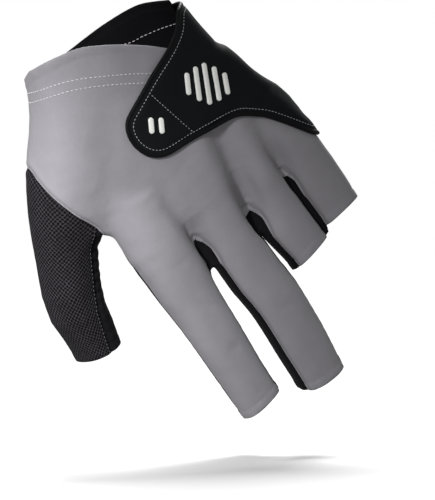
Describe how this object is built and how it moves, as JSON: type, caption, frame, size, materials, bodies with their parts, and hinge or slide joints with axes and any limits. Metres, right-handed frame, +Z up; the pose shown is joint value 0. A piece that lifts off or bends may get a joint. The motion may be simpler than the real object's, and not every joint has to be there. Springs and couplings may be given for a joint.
{
  "type": "billiard glove",
  "caption": "Left-hand open-finger billiard glove in its worn shape, with a stretch back, black palm and finger gussets, a mesh thumb and a wrap-over wrist strap.",
  "frame": {"origin": "centre of the wrist opening", "axes": "+Z up, the wrist end; -Y the side that the back of the hand faces; +X the side that the fingers swing to"},
  "size_m": [0.1344, 0.0846, 0.1687],
  "materials": {
    "lycra": "matt stretch knit, mid grey",
    "microfibre": "matt smooth knit, black",
    "mesh": "matt open-cell knit mesh, black",
    "neoprene": "matt foam sheet faced with knit, black",
    "binding": "folded edge tape, black",
    "hook": "woven hook pile, black",
    "silicone": "raised soft print, white"
  },
  "bodies": {
    "root": {"back_panel": "lycra", "palm_panel": "microfibre", "gusset_index_middle": "microfibre", "gusset_middle_ring": "microfibre", "gusset_ring_little": "microfibre", "thumb_mesh": "mesh", "thumb_strip": "microfibre", "wrist_strap": "neoprene", "strap_binding": "binding", "hook_patch": "hook", "strap_bar_1": "silicone", "strap_bar_2": "silicone", "strap_bar_3": "silicone", "strap_bar_4": "silicone", "strap_bar_5": "silicone", "tab_bar_1": "silicone", "tab_bar_2": "silicone"}
  },
  "joints": []
}
